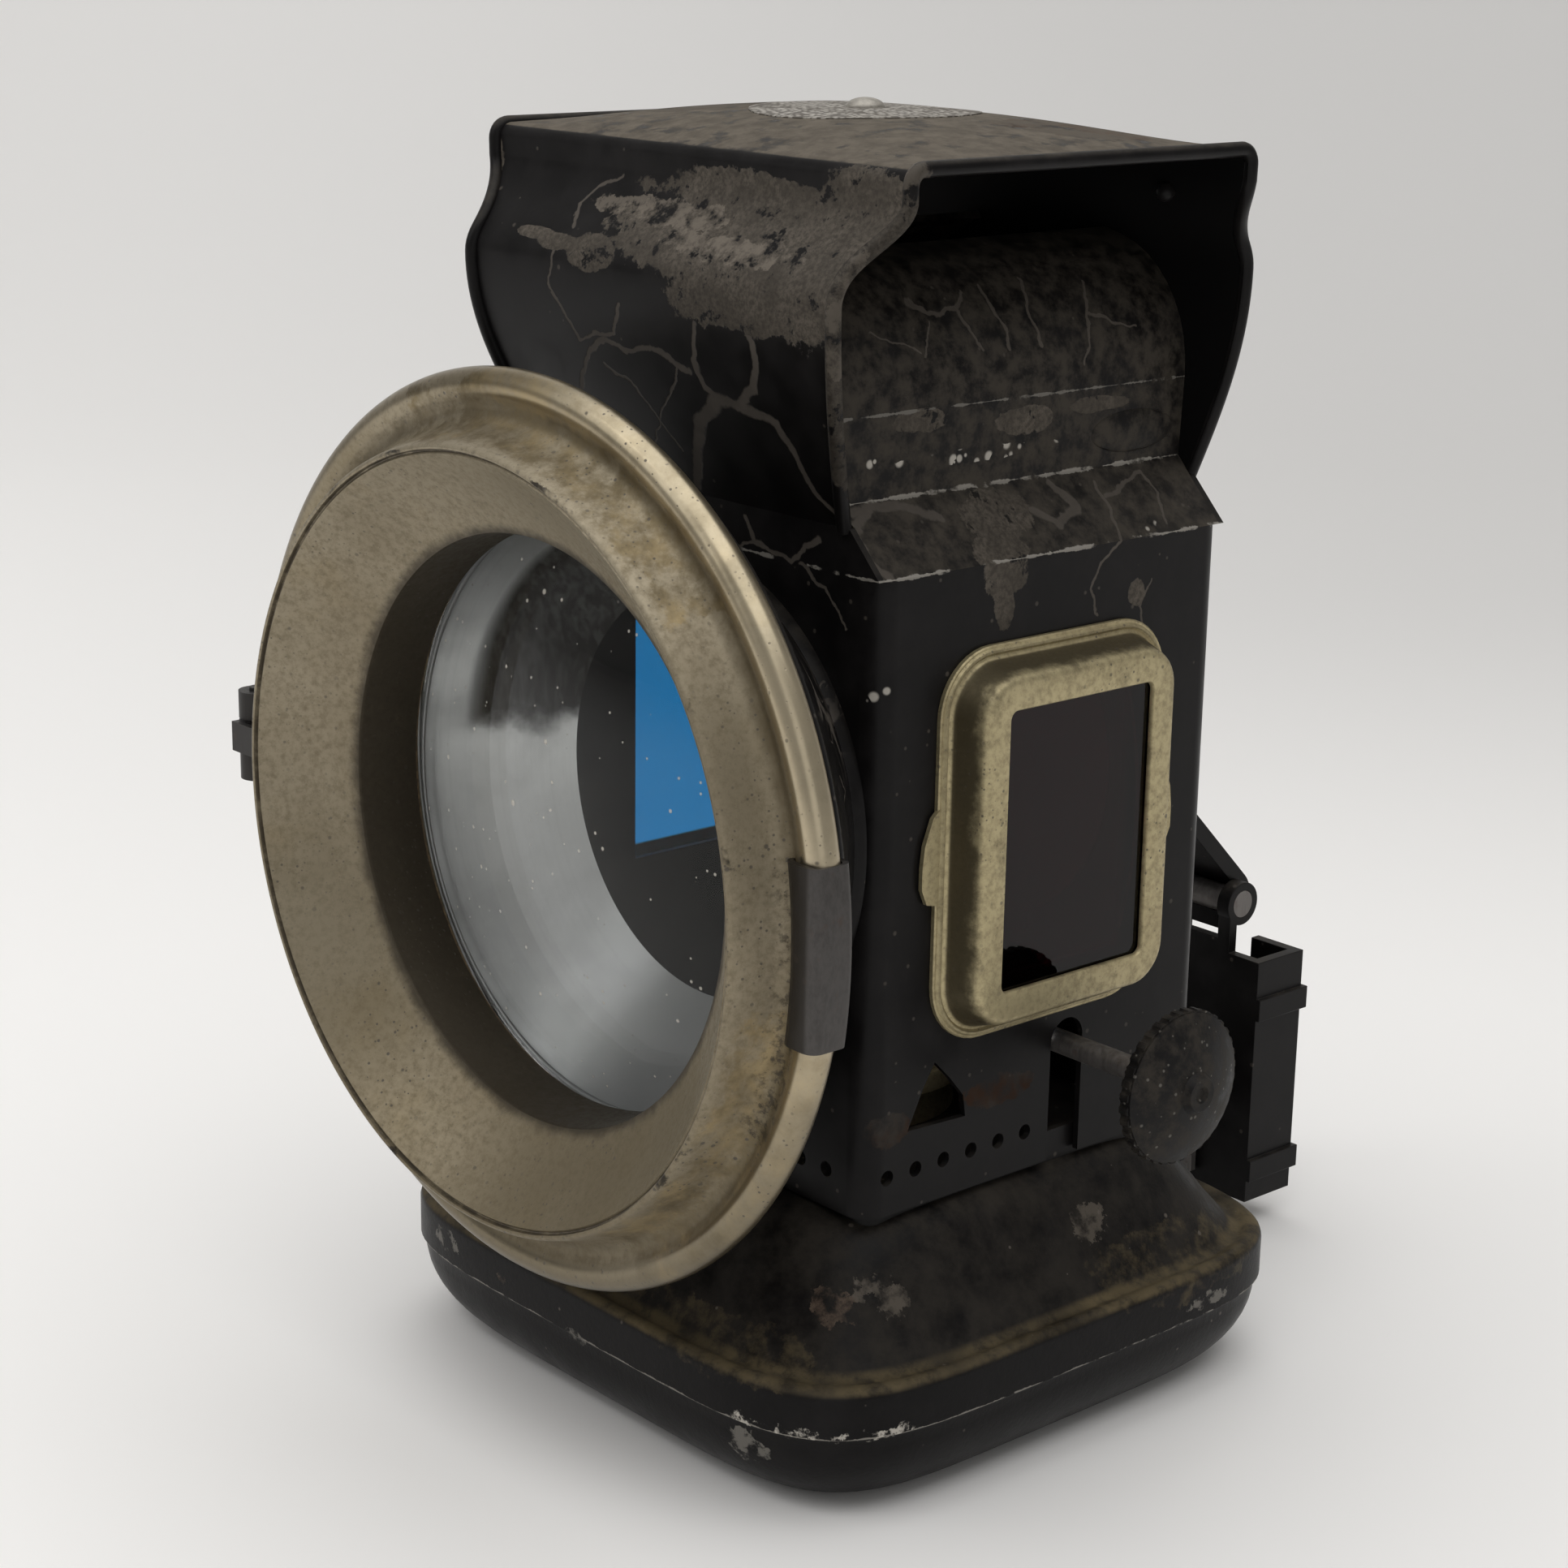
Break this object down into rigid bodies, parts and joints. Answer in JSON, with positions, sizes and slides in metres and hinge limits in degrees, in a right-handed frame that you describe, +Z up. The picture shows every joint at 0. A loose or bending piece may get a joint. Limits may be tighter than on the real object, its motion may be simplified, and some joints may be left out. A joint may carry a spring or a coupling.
{
  "type": "bicycle oil lamp",
  "caption": "Black japanned bicycle oil lamp with a nickel front door, side windows, hooded chimney, oil tank with wick knob and a swinging bracket socket.",
  "frame": {"origin": "centre of the flat underside of the oil tank", "axes": "the lamp's front glass faces -Y, +X is the side with the wick knob, +Z is up"},
  "size_m": [0.1068, 0.1252, 0.1489],
  "materials": {
    "black_japan": "worn black japan over sheet steel",
    "aged_nickel": "aged nickel plate on brass, pitted and stained",
    "window_brass": "worn nickel plate showing brass",
    "dull_steel": "dull steel",
    "burner_brass": "tarnished brass",
    "dusty_knob": "dusty worn black",
    "silvered_sheet": "aged silvered sheet",
    "pale_disc": "dull stippled",
    "wick_cotton": "woven cotton",
    "cork_packing": "dry packing cord",
    "clear_glass": "clear, dusty",
    "ruby_glass": "deep ruby",
    "blue_glass": "clear blue"
  },
  "bodies": {
    "tank": {"tank_pan": "black_japan", "tank_cover": "black_japan", "locating_rim": "black_japan", "burner_collar": "burner_brass", "burner_cap": "burner_brass", "wick_tube": "burner_brass", "wheel_housing": "burner_brass"},
    "wick_drive": {"wick_spindle": "dull_steel", "spur_wheels": "burner_brass", "wick_knob": "dusty_knob", "knob_rivet": "dusty_knob"},
    "wick": {"wick": "wick_cotton"},
    "case": {"case_shell": "black_japan", "shoulder_right": "black_japan", "shoulder_left": "black_japan", "chimney_right": "black_japan", "chimney_left": "black_japan", "hood": "black_japan", "hood_disc": "pale_disc", "hood_rivet": "dull_steel", "front_flare": "black_japan", "flare_liner": "silvered_sheet", "rear_reflector": "silvered_sheet", "reflector_stay": "dull_steel", "window_frame_right": "window_brass", "window_frame_left": "window_brass", "pane_right": "ruby_glass", "pane_left": "blue_glass", "pane_springs_right": "dull_steel", "pane_springs_left": "dull_steel", "hinge_leaf": "dull_steel", "hinge_pin": "dull_steel", "bracket_arm": "black_japan", "arm_rivets": "black_japan", "buffer_spring": "dull_steel", "buffer_rivets": "dull_steel"},
    "door": {"bezel": "aged_nickel", "front_glass": "clear_glass", "glass_packing": "cork_packing", "glass_ring": "dull_steel", "door_knuckle": "dull_steel", "catch_clip": "dull_steel"},
    "socket": {"socket_pin": "dull_steel", "bracket_socket": "black_japan"}
  },
  "joints": [
    {"name": "case_lift", "type": "slide", "parent": "tank", "child": "case", "axis": [0, 0, 1], "range_m": [0, 0.06]},
    {"name": "wick_turn", "type": "hinge", "parent": "tank", "child": "wick_drive", "pos_m": [0, 0.00715, 0.0441], "axis": [-1, 0, 0], "range_deg": [-30, 120]},
    {"name": "wick_rise", "type": "slide", "parent": "tank", "child": "wick", "axis": [0, 0, 1], "range_m": [-0.00168, 0.0067]},
    {"name": "door_swing", "type": "hinge", "parent": "case", "child": "door", "pos_m": [-0.0535, -0.047, 0.072], "axis": [0, 0, -1], "range_deg": [0, 110]},
    {"name": "socket_swing", "type": "hinge", "parent": "case", "child": "socket", "pos_m": [0, 0.0634, 0.0438], "axis": [1, 0, 0], "range_deg": [0, 40]}
  ],
  "couplings": [
    {"joint": "wick_turn", "follows": "wick_rise", "rad_per_m": 312.5}
  ]
}
